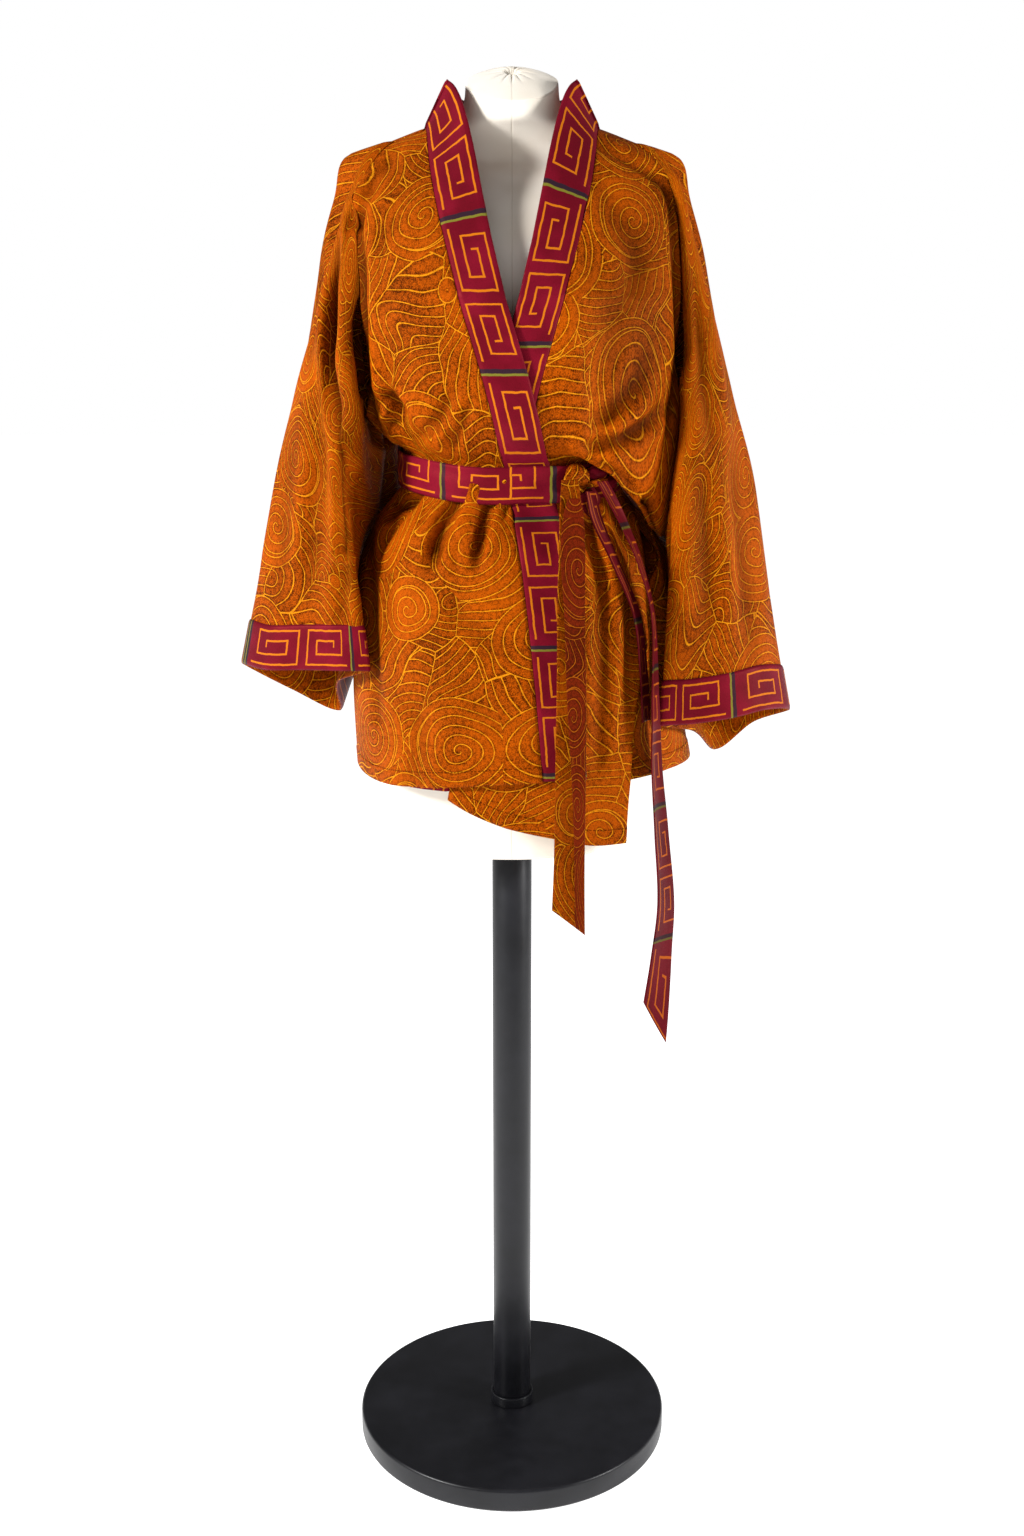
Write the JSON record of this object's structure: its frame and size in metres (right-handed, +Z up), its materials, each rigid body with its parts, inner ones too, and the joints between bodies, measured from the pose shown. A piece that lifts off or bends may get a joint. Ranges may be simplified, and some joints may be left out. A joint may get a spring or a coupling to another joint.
{
  "type": "short kimono on dress form",
  "caption": "Short wrap kimono with wide hanging sleeves, contrast bands and its own tied belt, worn by a limbless dress form on a pole with a round base.",
  "frame": {"origin": "centre of the round base's underside", "axes": "+Z up; the front of the garment faces -Y; +X is the wearer's left"},
  "size_m": [0.6104, 0.368, 1.5713],
  "materials": {
    "main_cloth": "satin jacquard in dark golden orange with thin yellow swirl lines",
    "band_cloth": "satin in burgundy with thin orange meander lines",
    "form_jersey": "matt cream jersey",
    "black_steel": "matt black powder coat"
  },
  "bodies": {
    "root": {"kimono_back": "main_cloth", "kimono_front_right": "main_cloth", "kimono_front_left": "main_cloth", "sleeve_right": "main_cloth", "sleeve_left": "main_cloth", "belt_tail_front": "main_cloth", "band_over": "band_cloth", "band_neck": "band_cloth", "band_under": "band_cloth", "cuff_right": "band_cloth", "cuff_left": "band_cloth", "belt_waist": "band_cloth", "belt_knot": "band_cloth", "belt_loop_upper": "band_cloth", "belt_loop_lower": "band_cloth", "belt_tail_side": "band_cloth", "form_torso": "form_jersey", "form_cap": "form_jersey", "stand_pole": "black_steel", "stand_collar": "black_steel", "stand_base": "black_steel"}
  },
  "joints": []
}
